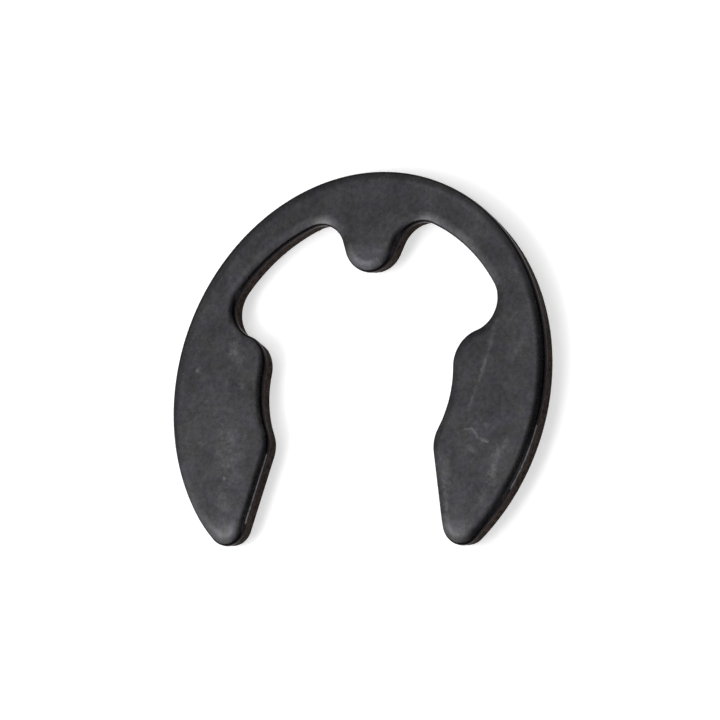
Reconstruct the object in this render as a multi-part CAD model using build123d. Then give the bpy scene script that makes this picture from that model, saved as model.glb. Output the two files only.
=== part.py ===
from build123d import *
import os
from math import atan2, cos, degrees, radians, sin, sqrt, tan

# E-clip: a retaining ring stamped in one stroke from a sheet of spring steel. It is pushed
# sideways over a shaft and grips the shaft's groove with its two legs and the prong
# between them.
#
# The origin is on the shaft's axis, at the back face. +Z points out of the front face, and
# the mouth opens towards -Y. Lengths are in millimetres and angles in degrees.

# The seat that grips the groove, and the mouth that the shaft comes in by
seat_diameter = 14.9
seat_above = 6.5            # a leg's seat ends this far above the middle of the shaft
seat_below = 25.7           # and this far below it, so the shaft has to snap in
mouth_corner_radius = 2.38
mouth_flare = 14.0          # each side of the mouth leans out by this much
tip_radius = 1.46

# The prong, which reaches from the beam to the groove
prong_reach = 4.05
prong_tip_radius = 2.0
prong_taper = 21.2          # each side of the prong leans by this much
root_radius = 1.98

# The beam that bends when the clip opens, and the bowl inside it. With the seat and the
# prong they make a ring 29 across.
beam_at_top = 2.73          # width of the beam behind the prong
beam_at_sides = 2.28        # width of the beam where it joins the legs
outer_centre_drop = 0.27    # the outer circle's centre lies this far below the seat's
bowl_end_radius = 2.04
shoulder_radius = 2.3

# The sheet and its stamped edge, from the front face to the back face. The die draws the
# front edge down in a long soft roll, then shears a short band, and the rest tears.
sheet_thickness = 1.5
roll_radius = 1.8           # where the roll leaves the front face
roll_slope = 20.0           # the straight middle of the roll falls away by this much
roll_straight = 0.02        # length of that straight
roll_end_radius = 0.2       # where the roll turns into the sheared band
sheared_height = 0.2        # the sheared band, the only part of the edge that is upright
torn_inset = 0.17           # the torn band below it leans in by this much at the back face
edge_break = 0.05           # tumbling has taken the burr off the back edge


def towards(angle):
    """The unit vector at an angle from +X."""
    return Vector(cos(radians(angle)), sin(radians(angle)))


def bearing(start, end):
    """The angle from +X of the line from one point to another."""
    return degrees(atan2(end.Y - start.Y, end.X - start.X))


def circles_meet(centre_a, radius_a, centre_b, radius_b):
    """The point where two circles meet, on the left of the line from centre a to centre b."""
    span = centre_b - centre_a
    along = (span.length**2 + radius_a**2 - radius_b**2) / (2 * span.length)
    across = sqrt(radius_a**2 - along**2)
    unit = span.normalized()
    return centre_a + unit * along + Vector(-unit.Y, unit.X) * across


def line_meets_circle(point, angle, centre, radius):
    """The point where a line that leaves a point at an angle goes out of a circle."""
    unit = towards(angle)
    to_centre = centre - point
    along = unit.dot(to_centre)
    return point + unit * (along + sqrt(radius**2 - to_centre.length**2 + along**2))


def arc(centre, radius, start, end):
    """An arc from one angle to another, anticlockwise if the angle grows."""
    return CenterArc(centre, radius, start, end - start)


# Centres of the circles that the outline rolls along, for the right half. Each circle
# touches the next one, or shares a straight side with it.
seat_radius = seat_diameter / 2
outer_radius = outer_centre_drop + seat_radius + prong_reach + beam_at_top
bowl_radius = outer_radius - beam_at_sides
seat = Vector(0, 0)
outer = seat - Vector(0, outer_centre_drop)
bowl = outer - Vector(0, beam_at_top - beam_at_sides)

corner = seat + towards(-seat_below) * (seat_radius + mouth_corner_radius)
shoulder = seat + towards(seat_above) * (seat_radius + shoulder_radius)
bowl_end = circles_meet(bowl, bowl_radius - bowl_end_radius,
                        shoulder, shoulder_radius + bowl_end_radius)

# The mouth's side runs down from the corner, and the tip's centre lies beside it.
mouth_side = -180 + mouth_flare     # outward normal of that side
side_offset = towards(mouth_side) * (mouth_corner_radius - tip_radius)
tip = line_meets_circle(corner + side_offset, -90 + mouth_flare,
                        outer, outer_radius - tip_radius)

# The prong's side runs up from its tip, and the root's centre lies beside it.
prong = seat + Vector(0, seat_radius + prong_tip_radius)
root_offset = towards(-prong_taper) * (prong_tip_radius + root_radius)
root = line_meets_circle(prong + root_offset, 90 - prong_taper,
                         bowl, bowl_radius - root_radius)

with BuildSketch() as outline:
    with BuildLine():
        arc(outer, outer_radius, 90, bearing(outer, tip))
        arc(tip, tip_radius, bearing(outer, tip), mouth_side)
        Line(tip + towards(mouth_side) * tip_radius,
             corner + towards(mouth_side) * mouth_corner_radius)
        arc(corner, mouth_corner_radius, mouth_side, -180 - seat_below)
        arc(seat, seat_radius, -seat_below, seat_above)
        arc(shoulder, shoulder_radius, 180 + seat_above, bearing(shoulder, bowl_end))
        arc(bowl_end, bowl_end_radius, bearing(bowl_end, shoulder), bearing(bowl, bowl_end))
        arc(bowl, bowl_radius, bearing(bowl, bowl_end), bearing(bowl, root))
        arc(root, root_radius, bearing(bowl, root), 180 - prong_taper)
        Line(root - towards(-prong_taper) * root_radius,
             prong + towards(-prong_taper) * prong_tip_radius)
        arc(prong, prong_tip_radius, -prong_taper, -90)
        mirror(about=Plane.YZ)
    make_face()

# The roll starts as a bevel just long enough for the two radii that round its ends.
end_round = roll_end_radius * tan(radians((90 - roll_slope) / 2))
bevel = roll_radius * tan(radians(roll_slope / 2)) + roll_straight + end_round
bevel_width = bevel * cos(radians(roll_slope))
bevel_depth = bevel * sin(radians(roll_slope))
torn_height = sheet_thickness - bevel_depth - end_round - sheared_height

with BuildPart() as clip:
    add(outline)
    extrude(amount=sheet_thickness)
    back = clip.faces().sort_by(Axis.Z)[0]
    chamfer(back.edges(), torn_inset, torn_height, reference=back)
    chamfer(clip.faces().sort_by(Axis.Z)[0].edges(), edge_break)
    front = clip.faces().sort_by(Axis.Z)[-1]
    chamfer(front.edges(), bevel_width, bevel_depth, reference=front)
    bevel_rim = clip.edges().group_by(Axis.Z)[-3]
    fillet(bevel_rim, roll_end_radius)
    fillet(clip.faces().sort_by(Axis.Z)[-1].edges(), roll_radius)

os.makedirs("parts", exist_ok=True)
export_step(clip.part, "parts/e_clip.step")
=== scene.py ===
# %% [markdown]
# # An e-clip in black spring steel
#
# An e-clip is a retaining ring. It is pushed sideways over a shaft, snaps into a groove and
# keeps a wheel or a lever from sliding off. This one is about 29 mm across, stamped in one
# stroke from a sheet 1.5 mm thick, hardened, tumbled and blackened.
#
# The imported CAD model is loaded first, as a frame that nothing here may move. The clip's
# origin is on the shaft's axis, at the back face. +Z points out of the front face, and the
# mouth opens towards -Y. The clip lies flat on its back face, as it would come to rest.

# %% Load the frame
from math import atan2, cos, degrees, pi, radians, sin, sqrt, tan

import bmesh
import bpy
from mathutils import Matrix, Vector, noise


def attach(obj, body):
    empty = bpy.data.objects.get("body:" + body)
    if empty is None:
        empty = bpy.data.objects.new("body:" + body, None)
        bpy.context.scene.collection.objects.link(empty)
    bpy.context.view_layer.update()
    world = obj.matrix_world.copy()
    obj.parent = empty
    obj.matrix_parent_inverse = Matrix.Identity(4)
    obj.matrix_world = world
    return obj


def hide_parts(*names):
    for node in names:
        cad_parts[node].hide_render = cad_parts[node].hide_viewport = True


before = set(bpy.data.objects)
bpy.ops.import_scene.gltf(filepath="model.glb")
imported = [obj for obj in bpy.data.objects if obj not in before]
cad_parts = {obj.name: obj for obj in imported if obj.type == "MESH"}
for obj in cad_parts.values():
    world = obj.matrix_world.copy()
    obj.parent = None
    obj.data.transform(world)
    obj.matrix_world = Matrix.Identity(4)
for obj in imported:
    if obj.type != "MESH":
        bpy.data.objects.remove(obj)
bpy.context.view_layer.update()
MM = 0.001                  # the scene is in metres, and the clip is drawn in millimetres

# %% [markdown]
# ## The camera
#
# A small part is best seen through a long lens from well away, which keeps its circles
# round and its sides parallel. The camera looks down on the clip from its right, and it is
# rolled so that the clip's prong stays at the top of the view. Azimuth, elevation and roll
# say where it is more plainly than a matrix would.

# %% Place the camera
CAMERA_AZIMUTH = 70.97      # degrees round +Z, from the side where the mouth opens
CAMERA_ELEVATION = 55.03
CAMERA_ROLL = -68.50
CAMERA_DISTANCE = 409.18 * MM
CAMERA_TARGET = Vector((-0.226, 1.558, 0.75)) * MM
LENS = 309.6                # mm, on a sensor 36 mm wide
NEAREST, FARTHEST = 0.01, 10    # what the camera can see, in metres


def direction(azimuth, elevation):
    """The unit vector from the clip towards an azimuth and elevation, both in degrees."""
    a, e = radians(azimuth), radians(elevation)
    return Vector((sin(a) * cos(e), -cos(a) * cos(e), sin(e)))


camera = bpy.data.objects.new("camera", bpy.data.cameras.new("camera"))
bpy.context.scene.collection.objects.link(camera)
camera.data.lens = LENS
camera.data.clip_start, camera.data.clip_end = NEAREST, FARTHEST
back = direction(CAMERA_AZIMUTH, CAMERA_ELEVATION)
camera.rotation_mode = "QUATERNION"
level = (-back).to_track_quat("-Z", "Y")
camera.rotation_quaternion = level @ Matrix.Rotation(radians(CAMERA_ROLL), 3, "Z").to_quaternion()
camera.location = CAMERA_TARGET + back * CAMERA_DISTANCE
bpy.context.scene.camera = camera
print("Camera at", [round(v / MM, 1) for v in camera.location], "mm")

# %% [markdown]
# ## The outline
#
# The die that stamps an e-clip is cut with round cutters, so its outline is a chain of arcs
# that run into each other without a corner. It could be drawn as a Bezier curve, but then
# the radii would only be near. Here each circle's centre is worked out from the two that it
# touches, the same way as in the CAD, and one vertex is spun about one centre after the
# other and leaves the outline behind it.

# %% Sizes of the outline, in millimetres and degrees
SEAT_RADIUS = 7.45          # grips the groove
SEAT_ABOVE, SEAT_BELOW = 6.5, 25.7
MOUTH_CORNER_RADIUS = 2.38
MOUTH_FLARE = 14.0
TIP_RADIUS = 1.46
PRONG_REACH = 4.05
PRONG_TIP_RADIUS = 2.0
PRONG_TAPER = 21.2
ROOT_RADIUS = 1.98
BEAM_AT_TOP, BEAM_AT_SIDES = 2.73, 2.28
OUTER_CENTRE_DROP = 0.27
BOWL_END_RADIUS = 2.04
SHOULDER_RADIUS = 2.3


def towards(angle):
    """The unit vector at an angle from +X."""
    return Vector((cos(radians(angle)), sin(radians(angle)), 0))


def bearing(start, end):
    """The angle from +X of the line from one point to another."""
    return degrees(atan2(end.y - start.y, end.x - start.x))


def circles_meet(centre_a, radius_a, centre_b, radius_b):
    """The point where two circles meet, on the left of the line from centre a to centre b."""
    span = centre_b - centre_a
    along = (span.length_squared + radius_a**2 - radius_b**2) / (2 * span.length)
    unit = span.normalized()
    return centre_a + unit * along + Vector((-unit.y, unit.x, 0)) * sqrt(radius_a**2 - along**2)


def line_meets_circle(point, angle, centre, radius):
    """The point where a line that leaves a point at an angle goes out of a circle."""
    unit = towards(angle)
    to_centre = centre - point
    along = unit.dot(to_centre)
    return point + unit * (along + sqrt(radius**2 - to_centre.length_squared + along**2))


outer_radius = OUTER_CENTRE_DROP + SEAT_RADIUS + PRONG_REACH + BEAM_AT_TOP
bowl_radius = outer_radius - BEAM_AT_SIDES
seat = Vector((0, 0, 0))
outer = seat - Vector((0, OUTER_CENTRE_DROP, 0))
bowl = outer - Vector((0, BEAM_AT_TOP - BEAM_AT_SIDES, 0))
corner = seat + towards(-SEAT_BELOW) * (SEAT_RADIUS + MOUTH_CORNER_RADIUS)
shoulder = seat + towards(SEAT_ABOVE) * (SEAT_RADIUS + SHOULDER_RADIUS)
bowl_end = circles_meet(bowl, bowl_radius - BOWL_END_RADIUS,
                        shoulder, SHOULDER_RADIUS + BOWL_END_RADIUS)
mouth_side = -180 + MOUTH_FLARE
tip = line_meets_circle(corner + towards(mouth_side) * (MOUTH_CORNER_RADIUS - TIP_RADIUS),
                        -90 + MOUTH_FLARE, outer, outer_radius - TIP_RADIUS)
prong = seat + Vector((0, SEAT_RADIUS + PRONG_TIP_RADIUS, 0))
root = line_meets_circle(prong + towards(-PRONG_TAPER) * (PRONG_TIP_RADIUS + ROOT_RADIUS),
                         90 - PRONG_TAPER, bowl, bowl_radius - ROOT_RADIUS)
print("The outer circle's radius is", round(outer_radius, 3), "mm")

# %% Spin a vertex along the right half of the outline
STEP = 0.11                 # mm between the outline's vertices, finer than the roll needs


def spin_on(bm, vertex, centre, start, end):
    """Spins the outline's last vertex about a centre, from one angle to another."""
    radius = (vertex.co - centre).length
    sweep = radians(end - start)
    made = bmesh.ops.spin(bm, geom=[vertex], cent=centre, axis=(0, 0, 1), angle=sweep,
                          steps=max(4, round(abs(sweep) * radius / STEP)))
    return next(g for g in made["geom_last"] if isinstance(g, bmesh.types.BMVert))


def straight_on(bm, vertex, end):
    """Extrudes the outline's last vertex in a straight line to a point."""
    steps = max(1, round((end - vertex.co).length / STEP))
    stride = (end - vertex.co) / steps
    for _ in range(steps):
        vertex = bmesh.ops.extrude_vert_indiv(bm, verts=[vertex])["verts"][0]
        bmesh.ops.translate(bm, verts=[vertex], vec=stride)
    return vertex


clip_bm = bmesh.new()
torn_share = clip_bm.verts.layers.float.new("torn")
# This layer marks where shade is painted into the base colour: the sheared band and the steep foot
# of the roll
painted_shade_share = clip_bm.verts.layers.float.new("painted_shade")
start = clip_bm.verts.new(outer + towards(90) * outer_radius)
last = spin_on(clip_bm, start, outer, 90, bearing(outer, tip))
last = spin_on(clip_bm, last, tip, bearing(outer, tip), mouth_side)
last = straight_on(clip_bm, last, corner + towards(mouth_side) * MOUTH_CORNER_RADIUS)
last = spin_on(clip_bm, last, corner, mouth_side, -180 - SEAT_BELOW)
last = spin_on(clip_bm, last, seat, -SEAT_BELOW, SEAT_ABOVE)
last = spin_on(clip_bm, last, shoulder, 180 + SEAT_ABOVE, bearing(shoulder, bowl_end))
last = spin_on(clip_bm, last, bowl_end, bearing(bowl_end, shoulder), bearing(bowl, bowl_end))
last = spin_on(clip_bm, last, bowl, bearing(bowl, bowl_end), bearing(bowl, root))
last = spin_on(clip_bm, last, root, bearing(bowl, root), 180 - PRONG_TAPER)
last = straight_on(clip_bm, last, prong + towards(-PRONG_TAPER) * PRONG_TIP_RADIUS)
last = spin_on(clip_bm, last, prong, -PRONG_TAPER, -90)
print("Half outline:", len(clip_bm.verts), "vertices, ending at", last.co[:])

# %% Mirror the half and fill it
SAME_SPOT = 1e-4            # mm, points nearer than this are one

bmesh.ops.mirror(clip_bm, geom=clip_bm.verts[:] + clip_bm.edges[:], axis="X",
                 merge_dist=SAME_SPOT)
blank = bmesh.ops.contextual_create(clip_bm, geom=clip_bm.edges[:])["faces"][0]
if blank.normal.z < 0:
    blank.normal_flip()
print("Blank:", len(blank.verts), "sides, area", round(blank.calc_area(), 2), "mm2")

# %% [markdown]
# ## The stamped edge
#
# A punch does not cut a sheet cleanly. It first draws the edge down into a wide soft roll,
# then shears a short bright band, and the rest tears and leans in. Tumbling takes the burr
# off the back edge. A Bevel modifier would round every edge alike, so the edge is built as
# rings instead: the sheared band is extruded, and each inset then steps inwards and up, or
# inwards and down, by what that part of the edge's section asks.

# %% Extrude the sheared band
THICKNESS = 1.5
ROLL_RADIUS, ROLL_SLOPE, ROLL_STRAIGHT, ROLL_END_RADIUS = 1.8, 20.0, 0.02, 0.2
SHEARED_HEIGHT = 0.2
TORN_INSET, EDGE_BREAK = 0.17, 0.05
UPRIGHT = 0.9               # a normal whose Z is below this belongs to a side
end_round = ROLL_END_RADIUS * tan(radians((90 - ROLL_SLOPE) / 2))
bevel = ROLL_RADIUS * tan(radians(ROLL_SLOPE / 2)) + ROLL_STRAIGHT + end_round
torn_height = THICKNESS - bevel * sin(radians(ROLL_SLOPE)) - end_round - SHEARED_HEIGHT

bmesh.ops.translate(clip_bm, verts=clip_bm.verts, vec=(0, 0, torn_height))
raised = bmesh.ops.extrude_face_region(clip_bm, geom=[blank])["geom"]
front = next(g for g in raised if isinstance(g, bmesh.types.BMFace))
bmesh.ops.translate(clip_bm, verts=front.verts[:], vec=(0, 0, SHEARED_HEIGHT))
# The whole sheared band starts with full painted shade
for vertex in clip_bm.verts:
    vertex[painted_shade_share] = 1

# The extrusion makes the side faces in another order at each run, so they are put in one
clip_bm.verts.index_update()
count = len(clip_bm.verts)


def place_in_order(face):
    """A number that is the same at every run: by size, then by the two lowest vertices."""
    lowest, second = sorted(v.index for v in face.verts)[:2]
    return (len(face.verts) * count + lowest) * count + second


clip_bm.faces.sort(key=place_in_order)
bmesh.ops.recalc_face_normals(clip_bm, faces=clip_bm.faces)
flat_faces = [f for f in clip_bm.faces if abs(f.normal.z) > UPRIGHT]
back_face, front = sorted(flat_faces, key=lambda f: f.calc_center_median().z)
print("Sheared band:", len(clip_bm.faces), "faces; front and back look along",
      round(front.normal.z), round(back_face.normal.z))

# %% Draw the roll in rings
TIGHT_STEPS, SOFT_STEPS = 6, 10     # rings in the tight turn and in the long roll
PAINTED_SHADE_FROM, PAINTED_SHADE_OVER = 30, 25       # degrees of slope: the painted shade starts here and builds up over this
FLAT_RING = 0.08                    # mm, keeps the shading of a flat face flat


def ring(bm, face, inwards, outwards):
    """One ring: the face steps inwards, and out along its own normal."""
    bmesh.ops.inset_region(bm, faces=[face], thickness=inwards, depth=outwards,
                           use_boundary=True, use_even_offset=True)


def roll_steps():
    """The steps of the roll's section, from the sheared band up to the front face."""
    points = []
    for i in range(1, TIGHT_STEPS + 1):     # the tight turn out of the sheared band
        a = radians((90 - ROLL_SLOPE) * i / TIGHT_STEPS)
        points.append((ROLL_END_RADIUS * (1 - cos(a)), ROLL_END_RADIUS * sin(a)))
    low = Vector(points[-1])
    straight = Vector((cos(radians(ROLL_SLOPE)), sin(radians(ROLL_SLOPE)))) * ROLL_STRAIGHT
    low += straight
    points.append(tuple(low))
    for i in range(1, SOFT_STEPS + 1):      # the long soft roll up to the front face
        a = radians(ROLL_SLOPE * (1 - i / SOFT_STEPS))
        points.append((low.x + ROLL_RADIUS * (sin(radians(ROLL_SLOPE)) - sin(a)),
                       low.y + ROLL_RADIUS * (cos(a) - cos(radians(ROLL_SLOPE)))))
    return [(b[0] - a[0], b[1] - a[1]) for a, b in zip([(0, 0)] + points, points)]


for inwards, outwards in roll_steps():
    ring(clip_bm, front, inwards, outwards)
    steep = degrees(atan2(outwards, inwards))
    # The steeper the ring, the more painted shade it gets
    for vertex in front.verts:
        vertex[painted_shade_share] = min(1, max(0, (steep - PAINTED_SHADE_FROM) / PAINTED_SHADE_OVER))
ring(clip_bm, front, FLAT_RING, 0)
print("Front face at", round(front.verts[0].co.z, 4), "mm")

# %% Lean the torn band in and break the back edge
TORN_RINGS, BREAK_RINGS = 8, 2
for _ in range(TORN_RINGS):
    ring(clip_bm, back_face, TORN_INSET / TORN_RINGS, (torn_height - EDGE_BREAK) / TORN_RINGS)
    for vertex in back_face.verts:
        vertex[torn_share], vertex[painted_shade_share] = 1, 0
for _ in range(BREAK_RINGS):
    ring(clip_bm, back_face, EDGE_BREAK / BREAK_RINGS, EDGE_BREAK / BREAK_RINGS)
    for vertex in back_face.verts:
        vertex[torn_share], vertex[painted_shade_share] = 0, 0
ring(clip_bm, back_face, FLAT_RING, 0)
print("Back face at", round(back_face.verts[0].co.z, 4), "mm")

# %% Roughen the tear
TEAR_DEPTH = 0.045          # how far the tear bites into the edge, in mm
TEAR_GRAIN = Vector((5.5, 5.5, 1.8))    # per mm: the tear runs in upright flakes
TEAR_FALLOFF, TEAR_STEP, TEAR_OCTAVES = 0.7, 2.0, 4
TEAR_LIFT = 0.5             # more of this leaves fewer places untouched

clip_bm.normal_update()
for vertex in clip_bm.verts:
    if vertex[torn_share]:
        flakes = noise.fractal(vertex.co * TEAR_GRAIN, TEAR_FALLOFF, TEAR_STEP, TEAR_OCTAVES)
        inwards = -Vector((vertex.normal.x, vertex.normal.y, 0)).normalized()
        vertex.co += inwards * TEAR_DEPTH * max(0, TEAR_LIFT + flakes)
print("Torn band:", sum(1 for v in clip_bm.verts if v[torn_share]), "points roughened")

# %% [markdown]
# ## The drawn tips
#
# A narrow tip has little steel beside it to hold it up, so the punch draws the ends of the
# legs and of the prong down further than the long edges. The front face has no vertices
# there that could sink, and a grid laid over the whole clip would waste them. Parallel
# planes slice only the piece of the front face at each tip, and then every vertex there is
# pressed towards the back face, more so the nearer it is to the end of the tip.

# %% Slice the front face near the tips
DRAWN_LENGTH = 2.0          # how far the sinking reaches back from the end of a tip
DRAWN_SLOPE = 17.0          # degrees that it adds at the very end
SLICE = 0.12                # mm between the planes
ON_PLANE = 1e-6             # mm, how near counts as touching a plane
FLAT, MANY_SIDES = 0.999, 100   # what tells the rest of the front face from its rings
tip_end = tip.y - TIP_RADIUS
prong_end = prong.y - PRONG_TIP_RADIUS


def with_borders(faces):
    """Faces, their edges and their vertices, each once and in the same order at every run."""
    edges = (e for f in faces for e in f.edges)
    corners = (v for f in faces for v in f.verts)
    return list(dict.fromkeys([*faces, *edges, *corners]))


def slice_face(bm, faces, lowest, count):
    """Cuts faces with planes across Y, SLICE apart, and returns what they became."""
    for i in range(count):
        cut = bmesh.ops.bisect_plane(bm, geom=with_borders(faces), dist=ON_PLANE,
                                     plane_co=(0, lowest + i * SLICE, 0), plane_no=(0, 1, 0))
        faces = [g for g in cut["geom"] if isinstance(g, bmesh.types.BMFace)]
    return faces


def split_off(bm, faces, co, no):
    """Cuts faces with one plane, and returns the parts on the side that it looks away from."""
    cut = bmesh.ops.bisect_plane(bm, geom=with_borders(faces), dist=ON_PLANE,
                                 plane_co=co, plane_no=no)
    parts = [g for g in cut["geom"] if isinstance(g, bmesh.types.BMFace)]
    return [f for f in parts if (f.calc_center_median() - Vector(co)).dot(Vector(no)) < 0]


slices = round(DRAWN_LENGTH / SLICE)
legs = split_off(clip_bm, [front], (0, tip_end + DRAWN_LENGTH, 0), (0, 1, 0))
rest = [f for f in clip_bm.faces
        if f.normal.z > FLAT and f not in legs and len(f.verts) > MANY_SIDES]
print("Leg tips:", len(legs), "faces; rest of the front:", len(rest))
slice_face(clip_bm, legs, tip_end + SLICE, slices)
middle = split_off(clip_bm, rest, (root.x, 0, 0), (1, 0, 0))
middle = split_off(clip_bm, middle, (-root.x, 0, 0), (-1, 0, 0))
prong_face = split_off(clip_bm, middle, (0, prong_end + DRAWN_LENGTH, 0), (0, 1, 0))
slice_face(clip_bm, prong_face, prong_end + SLICE, slices)
print("Clip:", len(clip_bm.faces), "faces after slicing")

# %% Sink the tips
PRONG_REGION = PRONG_TIP_RADIUS * 1.5   # the prong lies within this of the middle
NEAR_END = 0.3              # mm

for vertex in clip_bm.verts:
    x, y, z = vertex.co
    end = prong_end if abs(x) < PRONG_REGION and y > 0 else tip_end
    short_of = DRAWN_LENGTH - (y - end)
    if 0 < short_of:
        sink = tan(radians(DRAWN_SLOPE)) * short_of**2 / (2 * DRAWN_LENGTH)
        vertex.co.z *= 1 - sink / THICKNESS
print("Highest point within", NEAR_END, "mm of a leg's end:",
      round(max(v.co.z for v in clip_bm.verts if v.co.y < tip_end + NEAR_END), 3), "mm")

# %% Give the clip its object
def make_piece(bm, name):
    """A mesh object from a bmesh in millimetres, at the origin and unturned."""
    bmesh.ops.scale(bm, vec=(MM,) * 3, verts=bm.verts)
    mesh = bpy.data.meshes.new(name)
    bm.to_mesh(mesh)
    bm.free()
    mesh.polygons.foreach_set("use_smooth", [True] * len(mesh.polygons))
    piece = bpy.data.objects.new(name, mesh)
    bpy.context.scene.collection.objects.link(piece)
    return piece


clip = make_piece(clip_bm, "clip")
print("Clip:", len(clip.data.polygons), "faces,",
      sum(len(p.vertices) - 2 for p in clip.data.polygons), "triangles")

# %% [markdown]
# ## The black finish
#
# Hardened spring steel is tumbled until its edges lose their burr, and then blackened in a
# hot salt bath. The bath grows a thin layer of oxide, dark with a slight blue cast, and the
# metal under it still reflects like metal. Where the sheet tore, the layer is brown and
# dull.
#
# A painted image could carry this, but it would need unwrapping and would blur close up.
# Noise textures that read the clip's own place in space need neither. They are scaled to
# millimetres, so that the size of each effect can be read off the numbers. An effect that
# is used several times becomes a node group, built once and placed with its own values.

# %% Helpers for shader nodes
def add_node(tree, kind, values=None, **properties):
    """Adds a shader node. A value that is a socket is linked, and any other is set."""
    node = tree.nodes.new(kind)
    for name, value in properties.items():
        setattr(node, name, value)
    for socket, value in (values or {}).items():
        if isinstance(value, bpy.types.NodeSocket):
            tree.links.new(value, node.inputs[socket])
        else:
            node.inputs[socket].default_value = value
    return node


def calculate(tree, operation, first, second=0.0):
    """The output of a math node."""
    return add_node(tree, "ShaderNodeMath", {0: first, 1: second}, operation=operation).outputs[0]


def vector_calculate(tree, operation, first, second=(0, 0, 0), output="Vector"):
    """The output of a vector math node."""
    return add_node(tree, "ShaderNodeVectorMath", {0: first, 1: second},
                    operation=operation).outputs[output]


def scaled(tree, vector, factor):
    """A vector made longer by a factor."""
    return add_node(tree, "ShaderNodeVectorMath", {0: vector, "Scale": factor},
                    operation="SCALE").outputs[0]


def spread(tree, value, low, high, to_low=0.0, to_high=1.0):
    """A value moved from one range to another, and held inside it."""
    return add_node(tree, "ShaderNodeMapRange", {"Value": value, "From Min": low, "From Max": high,
                                                 "To Min": to_low, "To Max": to_high}).outputs[0]


def new_group(name, output, **inputs):
    """A node group with one output value, and inputs of the kinds given."""
    group = bpy.data.node_groups.new(name, "ShaderNodeTree")
    for socket, kind in inputs.items():
        group.interface.new_socket(socket, in_out="INPUT", socket_type="NodeSocket" + kind)
    group.interface.new_socket(output, in_out="OUTPUT", socket_type="NodeSocketFloat")
    return group, group.nodes.new("NodeGroupInput").outputs, group.nodes.new("NodeGroupOutput")


# %% The mottle group
MOTTLE_SHARPNESS = 0.72

mottle, taken, given = new_group("mottle", "Factor", Place="Vector", PerMm="Float",
                                 Detail="Float", Contrast="Float")
grain = add_node(mottle, "ShaderNodeTexNoise", {"Vector": taken["Place"], "Scale": taken["PerMm"],
                                                "Detail": taken["Detail"],
                                                "Roughness": MOTTLE_SHARPNESS})
off_middle = calculate(mottle, "SUBTRACT", grain.outputs["Fac"], 0.5)
varied = calculate(mottle, "MULTIPLY", off_middle, taken["Contrast"])
mottle.links.new(calculate(mottle, "ADD", varied, 1), given.inputs[0])
print("Mottle group:", len(mottle.nodes), "nodes")

# %% [markdown]
# ## Rubs and scratches
#
# Clips rattle against each other in the tumbler and in the bag, and that leaves short
# scratches and pale, dusty rubs on the flat faces. Each one is drawn as a line between two
# points of the front face. The group measures how far a spot is from that line, after noise
# has pushed the spot about, so that the rub has a ragged border, and a second threshold of
# the same noise breaks it into flecks.

# %% The rub and highlight group
RUB_DETAIL, RUB_SHARPNESS = 3.0, 0.65
RUB_RAGGED = 1.8            # how far a spot is pushed about, in half widths
FLECK_FROM, FLECK_FULL = 0.30, 0.66

# The group also draws the painted highlight lines on the rim
rub_and_highlight, taken, given = new_group("rub_and_highlight", "Mask", Place="Vector", From="Vector", To="Vector",
                              Width="Float", Strength="Float", Flecks="Float")
wobble = add_node(rub_and_highlight, "ShaderNodeTexNoise", {"Vector": taken["Place"], "Scale": taken["Flecks"],
                                              "Detail": RUB_DETAIL,
                                              "Roughness": RUB_SHARPNESS})
push = vector_calculate(rub_and_highlight, "SUBTRACT", wobble.outputs["Color"], (0.5, 0.5, 0.5))
push = scaled(rub_and_highlight, push, calculate(rub_and_highlight, "MULTIPLY", taken["Width"], RUB_RAGGED))
pushed = vector_calculate(rub_and_highlight, "ADD", taken["Place"], push)
flat = vector_calculate(rub_and_highlight, "MULTIPLY", pushed, (1, 1, 0))

line = vector_calculate(rub_and_highlight, "SUBTRACT", taken["To"], taken["From"])
reach = vector_calculate(rub_and_highlight, "SUBTRACT", flat, taken["From"])
along = calculate(rub_and_highlight, "DIVIDE", vector_calculate(rub_and_highlight, "DOT_PRODUCT", reach, line, "Value"),
                  vector_calculate(rub_and_highlight, "DOT_PRODUCT", line, line, "Value"))
along.node.use_clamp = True
beside = vector_calculate(rub_and_highlight, "DISTANCE", reach, scaled(rub_and_highlight, line, along), "Value")

fade = add_node(rub_and_highlight, "ShaderNodeMapRange", {"Value": beside, "From Min": taken["Width"],
                                            "From Max": 0.0}, interpolation_type="SMOOTHSTEP")
flecked = spread(rub_and_highlight, wobble.outputs["Fac"], FLECK_FROM, FLECK_FULL)
mask = calculate(rub_and_highlight, "MULTIPLY", fade.outputs[0], flecked)
rub_and_highlight.links.new(calculate(rub_and_highlight, "MULTIPLY", mask, taken["Strength"]), given.inputs[0])
print("Rub group:", len(rub_and_highlight.nodes), "nodes")

# %% Start the steel's material
steel = bpy.data.materials.new("black_spring_steel")
steel.use_nodes = True
tree = steel.node_tree
shader = tree.nodes["Principled BSDF"]
place = scaled(tree, add_node(tree, "ShaderNodeTexCoord").outputs["Object"], 1 / MM)


def place_mottle(per_mm, detail, contrast):
    """The mottle group at work on the steel, with this many specks to a millimetre."""
    return add_node(tree, "ShaderNodeGroup", {"Place": place, "PerMm": per_mm, "Detail": detail,
                                              "Contrast": contrast}, node_tree=mottle).outputs[0]


def blend(first, second, share):
    """The colour between two colours."""
    mixed = add_node(tree, "ShaderNodeMix", {0: share, 6: first, 7: second}, data_type="RGBA")
    return mixed.outputs[2]


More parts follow.
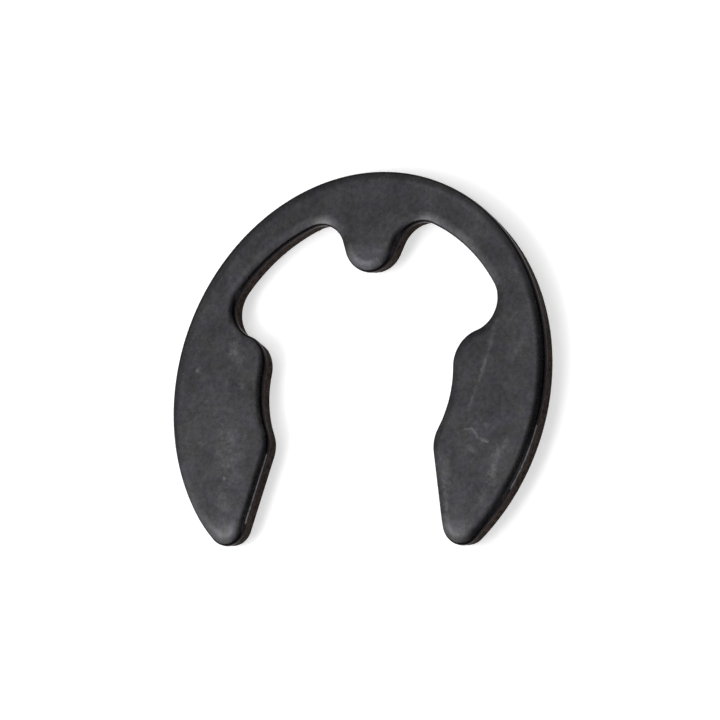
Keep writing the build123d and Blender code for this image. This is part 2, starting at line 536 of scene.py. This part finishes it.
# %% Place the rubs
# Start and end on the front face in mm, half width, strength, flecks per mm
RUBS = [
    ((10.6, 3.9), (10.2, 2.2), 0.28, 0.26, 6.0),        # the long scratch on the right leg
    ((10.35, 2.4), (10.05, 1.2), 0.24, 0.34, 5.0),
    ((10.05, 1.2), (9.65, -0.2), 0.20, 0.56, 5.0),
    ((9.65, -0.2), (9.1, -2.0), 0.18, 0.36, 5.0),
    ((12.9, 3.1), (12.1, 1.3), 0.34, 0.26, 5.0),        # a fainter one beside it
    ((8.9, -3.4), (9.5, -3.35), 0.15, 0.50, 5.0),       # the kinked scratch under it
    ((9.5, -3.35), (10.0, -3.95), 0.17, 0.75, 5.0),
    ((10.0, -3.95), (10.8, -4.25), 0.15, 0.80, 5.0),
    ((9.35, -4.5), (10.0, -4.95), 0.28, 0.50, 5.0),
    ((10.5, -3.1), (11.1, -3.3), 0.22, 0.20, 5.0),
    ((12.2, -4.2), (11.7, -5.2), 0.45, 0.30, 4.0),      # the smear by the outer edge
    ((11.65, -4.9), (11.3, -6.9), 0.58, 0.46, 4.0),
    ((11.3, -6.9), (10.7, -8.2), 0.50, 0.26, 4.0),
    ((7.7, -5.2), (8.2, -8.6), 0.38, 0.30, 4.0),        # wear along the mouth
    ((-9.85, 2.45), (-9.75, 2.0), 0.62, 0.62, 4.0),     # the patches on the left leg
    ((-9.5, 1.75), (-9.3, 1.5), 0.42, 0.42, 4.0),
    ((-12.65, 0.95), (-12.6, 0.9), 0.20, 2.4, 0.0),
    ((-12.9, 1.6), (-12.2, 0.6), 0.55, 0.28, 4.0),
    ((-9.1, 0.1), (-8.9, -0.3), 0.42, 0.44, 4.0),
    ((-10.3, 0.1), (-10.2, -0.1), 0.38, 0.34, 4.0),
    ((-9.9, -3.2), (-9.3, -3.9), 0.75, 0.34, 3.5),      # the haze lower down on it
    ((-9.6, -4.8), (-8.7, -6.3), 1.25, 0.36, 3.0),
    ((-9.6, -6.42), (-9.55, -6.47), 0.17, 1.3, 0.0),
    ((-11.75, -4.05), (-11.65, -4.15), 0.26, 0.55, 4.0),
    ((-9.6, -7.8), (-9.2, -8.4), 0.85, 0.20, 3.5),
]


def rub_and_highlight_all(lines):
    """A mask of the strongest line at each spot, from rubs and from painted highlights."""
    strongest = 0.0
    for start_spot, end_spot, half_width, strength, flecks in lines:
        values = {"Place": place, "From": (*start_spot, 0), "To": (*end_spot, 0),
                  "Width": half_width, "Strength": strength, "Flecks": flecks}
        mask = add_node(tree, "ShaderNodeGroup", values, node_tree=rub_and_highlight).outputs[0]
        strongest = calculate(tree, "MAXIMUM", mask, strongest)
    return strongest


height = add_node(tree, "ShaderNodeSeparateXYZ", {0: place}).outputs["Z"]
on_front = calculate(tree, "GREATER_THAN", height, THICKNESS / 2)
wear_and_highlight = calculate(tree, "MULTIPLY", rub_and_highlight_all(RUBS), on_front)
print(len(RUBS), "rubs on the front face")

# %% [markdown]
# ## Wear and a painted highlight on the rim
#
# The sharpest line of the clip runs where the roll meets the sheared band, and it is the
# first to rub through to bare steel. The bare grey drawn there is also a painted highlight:
# it stands where the rim catches a glint of light. The same group draws these lines, and a second
# mask keeps them to a thin line at the height of the rim, so that they don't run down the side.

# %% Wear the rim and paint its highlight
# Each line is worn bare steel and also a painted highlight where the rim catches the light
RIM_WEAR_AND_HIGHLIGHT = [
    ((14.13, -3.2), (13.64, -5.2), 0.17, 3.5, 2.5),
    ((13.64, -5.2), (12.70, -7.26), 0.17, 3.5, 2.5),
    ((-6.64, -4.9), (-7.70, -9.4), 0.17, 3.0, 2.5),
    ((-6.95, 1.6), (-7.05, -1.4), 0.14, 1.0, 2.5),
]
RIM_HEIGHT = torn_height + SHEARED_HEIGHT
RIM_WIDTH = 0.10
off_rim = calculate(tree, "ABSOLUTE", calculate(tree, "SUBTRACT", height, RIM_HEIGHT))
on_rim = spread(tree, off_rim, RIM_WIDTH, 0)
wear_and_highlight = calculate(tree, "MAXIMUM", wear_and_highlight, calculate(tree, "MULTIPLY", rub_and_highlight_all(RIM_WEAR_AND_HIGHLIGHT), on_rim))
print(len(RIM_WEAR_AND_HIGHLIGHT), "rubs on the rim, at a height of", round(RIM_HEIGHT, 3), "mm")

# %% [markdown]
# ## The colours
#
# The face drifts between a bluer and a greener black. The sheared band and the steep foot of the
# roll are painted darker, as painted shade, though their oxide is the same as the face's, and
# the torn band is brown in flakes. The share of each band was written on the mesh while its
# rings were made, so one material can serve the whole clip. These colours lie on top of each
# other in the order in which the bands hide one another, and grains and clouds of mottle then
# lighten and darken them all.

# %% Mix the colours
TINT_PATCHES = (0.9, 3.0, 1.0)      # specks per mm, detail, contrast
TORN_FLAKES = (3.5, 4.0, 1.0)
GRAINS = (3.2, 5.0, 1.40)
CLOUDS = (0.5, 2.5, 1.15)
TINT_RANGE = (0.85, 1.15)           # the mottle that gives the first and the second colour
FLAKE_RANGE = (0.86, 1.14)
BLUE_BLACK = (0.0360, 0.0348, 0.0410, 1)
GREEN_BLACK = (0.0364, 0.0362, 0.0362, 1)
TORN_BLACK = (0.008, 0.0065, 0.006, 1)
TORN_BROWN = (0.071, 0.048, 0.040, 1)
# Painted shade: the darker black of the sheared band and the roll's steep foot
PAINTED_SHADE_BLACK = (0.0095, 0.0078, 0.0093, 1)
# Bare steel for rubs and scratches, and a painted highlight on the rim lines
BARE_AND_HIGHLIGHT_GREY = (0.105, 0.102, 0.106, 1)

torn = add_node(tree, "ShaderNodeAttribute", attribute_name="torn").outputs["Fac"]
painted_shade = add_node(tree, "ShaderNodeAttribute", attribute_name="painted_shade").outputs["Fac"]
colour = blend(BLUE_BLACK, GREEN_BLACK, spread(tree, place_mottle(*TINT_PATCHES), *TINT_RANGE))
# Painted shade over the sheared band and the roll's steep foot
colour = blend(colour, PAINTED_SHADE_BLACK, painted_shade)
# Bare grey over rubs and scratches, and as a painted highlight along the rim
colour = blend(colour, BARE_AND_HIGHLIGHT_GREY, wear_and_highlight)
flakes = spread(tree, place_mottle(*TORN_FLAKES), *FLAKE_RANGE)
colour = blend(colour, blend(TORN_BLACK, TORN_BROWN, flakes), torn)
grains = place_mottle(*GRAINS)
clouds = place_mottle(*CLOUDS)
colour = scaled(tree, colour, calculate(tree, "MULTIPLY", grains, clouds))
tree.links.new(colour, shader.inputs["Base Color"])

# %% [markdown]
# ## Roughness, metal and pits
#
# The blackened face reflects like metal with a soft sheen. The torn band is covered with
# dull oxide, so it isn't metal here, and the little mirror that is left on it is turned
# down. Fine pits only catch the light, and a bump is enough for them.

# %% Set the roughness, metal and pits
BLACK_ROUGHNESS, TORN_ROUGHNESS = 0.28, 0.85
ROUGH_PATCHES = (1.1, 3.0, -0.35)
TORN_MIRROR = 0.1
TORN_MIRROR_TINT = (0.70, 0.69, 0.68, 1)
PIT_DEPTH = 0.004           # mm
PITS_PER_MM, PIT_DETAIL = 5.0, 3.0

rough = spread(tree, torn, 0, 1, BLACK_ROUGHNESS, TORN_ROUGHNESS)
rough = calculate(tree, "MULTIPLY", rough, place_mottle(*ROUGH_PATCHES))
tree.links.new(rough, shader.inputs["Roughness"])
tree.links.new(calculate(tree, "SUBTRACT", 1, torn), shader.inputs["Metallic"])
shader.inputs["Specular IOR Level"].default_value = TORN_MIRROR
shader.inputs["Specular Tint"].default_value = TORN_MIRROR_TINT

pits = add_node(tree, "ShaderNodeTexNoise", {"Vector": place, "Scale": PITS_PER_MM,
                                              "Detail": PIT_DETAIL})
bump = add_node(tree, "ShaderNodeBump", {"Height": pits.outputs["Fac"], "Distance": PIT_DEPTH * MM})
tree.links.new(bump.outputs["Normal"], shader.inputs["Normal"])
clip.data.materials.append(steel)
print("Steel:", len(tree.nodes), "nodes")

# %% Put the clip into the frame
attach(clip, "root")
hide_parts("e_clip")

# %% [markdown]
# ## The floor
#
# A small black part is usually shown on plain white paper. Paper that is lit until it looks
# white would flood the part with light from below, so the floor is a pale grey that takes
# the shadow, with a little glow of its own added. Light Path gives that glow only to the
# lens and to rays that leave shiny metal, which then mirrors the same white that the lens
# sees.

# %% Lay the floor
FLOOR_COLOUR = 0.8
FLOOR_GLOW = 0.55
FLOOR_DROP = 0.01           # mm under the clip, so that the two never share a plane
FLOOR_SIZE = 2000           # mm from the middle to an edge

floor_bm = bmesh.new()
bmesh.ops.create_grid(floor_bm, x_segments=1, y_segments=1, size=FLOOR_SIZE)
bmesh.ops.translate(floor_bm, verts=floor_bm.verts, vec=(0, 0, -FLOOR_DROP))
floor = make_piece(floor_bm, "floor")

paper = bpy.data.materials.new("white_paper")
paper.use_nodes = True
paper.node_tree.nodes.clear()
rays = add_node(paper.node_tree, "ShaderNodeLightPath").outputs
looked_at = calculate(paper.node_tree, "MAXIMUM", rays["Is Camera Ray"], rays["Is Glossy Ray"])
looked_at = calculate(paper.node_tree, "MAXIMUM", looked_at, rays["Is Transmission Ray"])
glow = calculate(paper.node_tree, "MULTIPLY", looked_at, FLOOR_GLOW)
matte = add_node(paper.node_tree, "ShaderNodeBsdfDiffuse", {"Color": (FLOOR_COLOUR,) * 3 + (1,)})
light = add_node(paper.node_tree, "ShaderNodeEmission", {"Strength": glow})
both = add_node(paper.node_tree, "ShaderNodeAddShader")
surface = add_node(paper.node_tree, "ShaderNodeOutputMaterial")
for start_socket, end_socket in ((matte.outputs[0], both.inputs[0]),
                                 (light.outputs[0], both.inputs[1]),
                                 (both.outputs[0], surface.inputs["Surface"])):
    paper.node_tree.links.new(start_socket, end_socket)
floor.data.materials.append(paper)
print("Floor:", 2 * FLOOR_SIZE / 1000, "m across")

# %% [markdown]
# ## The lamps
#
# Black steel shows hardly any colour of its own. What the eye reads as its shape is the
# mirror image of the lamps, so each lamp is placed where one part of the clip looks at it.
# The flat face looks at the fill box behind it, and the tips and the prong, which lean
# forward, look at the key box beside that. The roll on the near side looks up past the
# lens, where little light comes from, and turns nearly black. Most boxes stand behind,
# above and beside the clip. The near, near side and front boxes keep the near edges from
# closing up, and a small bright strip low in front lights the sides under them. Several
# boxes are brighter than white, so the steel shows brighter here than its colour is
# written, while a matte grey shows a little darker. One strong sun lamp would only leave a
# hard spark on the roll. Soft boxes are area lamps, as large as they look from the clip.

# %% Hang the lamps
def soft_box(name, azimuth, elevation, distance, width, height, brightness):
    """An area lamp that faces the clip, sized in mm. A brightness of 1 looks white."""
    lamp = bpy.data.objects.new(name, bpy.data.lights.new(name, "AREA"))
    bpy.context.scene.collection.objects.link(lamp)
    lamp.data.shape = "RECTANGLE"
    lamp.data.size, lamp.data.size_y = width * MM, height * MM
    lamp.data.energy = brightness * pi * lamp.data.size * lamp.data.size_y
    away = direction(azimuth, elevation)
    lamp.location = away * distance * MM
    lamp.rotation_mode = "QUATERNION"
    lamp.rotation_quaternion = away.to_track_quat("Z", "Y")
    lamp.visible_camera = False
    print(name, "of", round(lamp.data.energy, 3), "W")


# Name, azimuth and elevation in degrees, distance, width and height in mm, brightness
LAMPS = [
    ("key_box", 294, 41, 220, 190, 170, 2.8),
    ("hot_box", 296, 49, 205, 70, 60, 4.0),
    ("fill_box", 245, 58, 220, 78, 160, 0.88),
    ("cap_box", 285, 71, 220, 120, 55, 1.5),
    ("far_box", 218, 58, 205, 70, 60, 1.4),
    ("side_box", 200, 44, 220, 170, 150, 0.75),
    ("low_side_box", 165, 20, 220, 160, 90, 0.45),
    ("dim_box", 235, 28, 220, 60, 70, 0.75),
    ("lower_box", 252, 28, 220, 60, 60, 1.3),
    ("low_box", 280, 12, 220, 170, 50, 1.3),
    ("near_box", 335, 32, 220, 100, 90, 0.6),
    ("near_side_box", 10, 35, 220, 150, 90, 0.25),
    ("front_box", 58, 52, 220, 80, 80, 1.5),
    ("low_strip", 60, 12, 220, 90, 60, 6),
]
for lamp_values in LAMPS:
    soft_box(*lamp_values)

# %% [markdown]
# ## The tent and the room
#
# A studio hangs dark cloth round shiny black parts, so that an edge which turns away
# from the lamps mirrors something dark and stands out from the face. Here the cloth is half
# a globe, which a foot spun into a quarter arc and then round the vertical axis makes. The
# lens doesn't see it, and looks past it at a plain white room.

# %% Hang the tent
TENT_RADIUS = 330           # mm
CLOTH_COLOUR = 0.18
TENT_ARC = radians(89)      # a hair short of the top, so that its points stay apart
ARC_STEPS, ROUND_STEPS = 12, 36

tent_bm = bmesh.new()
foot = tent_bm.verts.new((TENT_RADIUS, 0, 0))
bmesh.ops.spin(tent_bm, geom=[foot], cent=(0, 0, 0), axis=(0, -1, 0), angle=TENT_ARC,
               steps=ARC_STEPS)
bmesh.ops.spin(tent_bm, geom=tent_bm.verts[:] + tent_bm.edges[:], cent=(0, 0, 0), axis=(0, 0, 1),
               angle=2 * pi, steps=ROUND_STEPS, use_merge=True)
print("Tent:", len(tent_bm.faces), "faces")
tent = make_piece(tent_bm, "tent")
cloth = bpy.data.materials.new("dark_cloth")
cloth.use_nodes = True
cloth_shader = cloth.node_tree.nodes["Principled BSDF"]
cloth_shader.inputs["Base Color"].default_value = (CLOTH_COLOUR,) * 3 + (1,)
cloth_shader.inputs["Roughness"].default_value = 1
cloth_shader.inputs["Specular IOR Level"].default_value = 0
tent.data.materials.append(cloth)
tent.visible_camera = False

# %% Light the room
world = bpy.data.worlds.new("white_room")
bpy.context.scene.world = world
world.use_nodes = True
background = world.node_tree.nodes["Background"]
background.inputs["Color"].default_value = (1, 1, 1, 1)
background.inputs["Strength"].default_value = 1
bpy.context.scene.view_settings.view_transform = "Standard"
print("Room of strength", background.inputs["Strength"].default_value)
